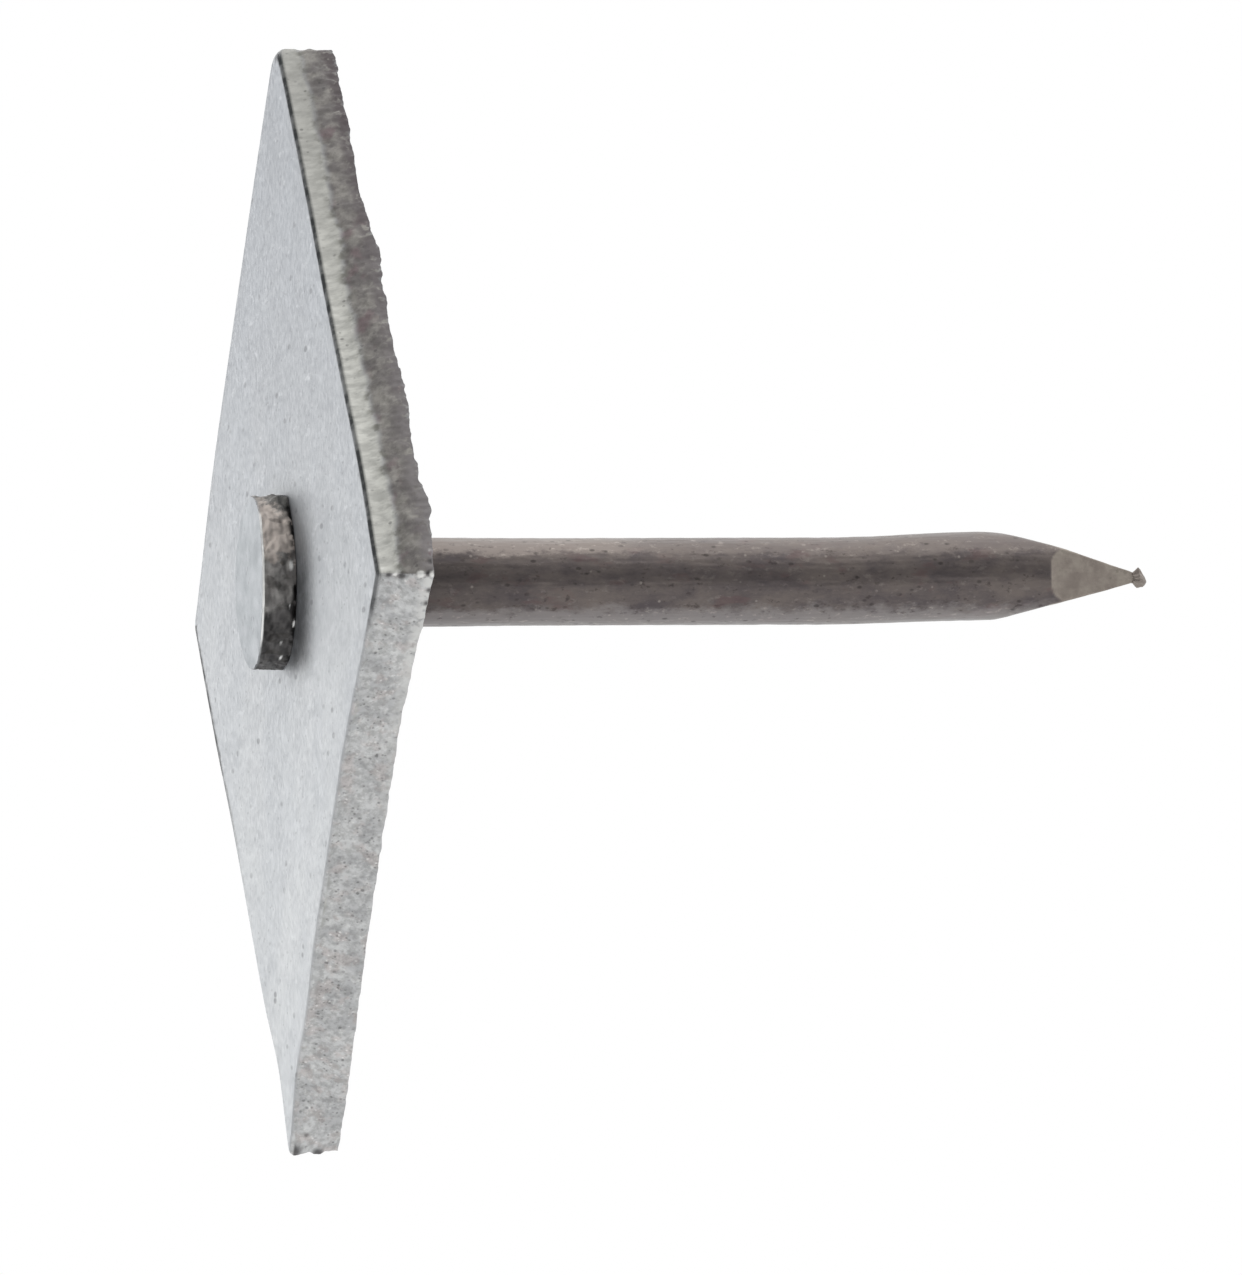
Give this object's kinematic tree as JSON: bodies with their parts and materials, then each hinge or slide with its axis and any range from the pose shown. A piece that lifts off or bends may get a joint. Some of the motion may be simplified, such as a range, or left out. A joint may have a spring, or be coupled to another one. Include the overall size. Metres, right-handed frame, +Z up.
{
  "type": "square plate nail",
  "caption": "Round wire nail with a thick flat head and a diamond point, carrying a loose square steel plate under its head.",
  "frame": {"origin": "on the nail's axis, in the plane of the plate's bearing face, where the shank enters the work", "axes": "+X along the nail from its head to its point, +Z up through one corner of the plate, +Y to the plate's side corner"},
  "size_m": [0.0296, 0.0356, 0.0353],
  "materials": {
    "wire_steel": "dark drawn wire, dull",
    "plate_steel": "pale grey, matt, speckled"
  },
  "bodies": {
    "nail": {"nail": "wire_steel"},
    "plate": {"square_plate": "plate_steel"}
  },
  "joints": [
    {"name": "plate_turn", "type": "hinge", "parent": "nail", "child": "plate", "pos_m": [0, 0, 0], "axis": [1, 0, 0], "continuous": true}
  ]
}
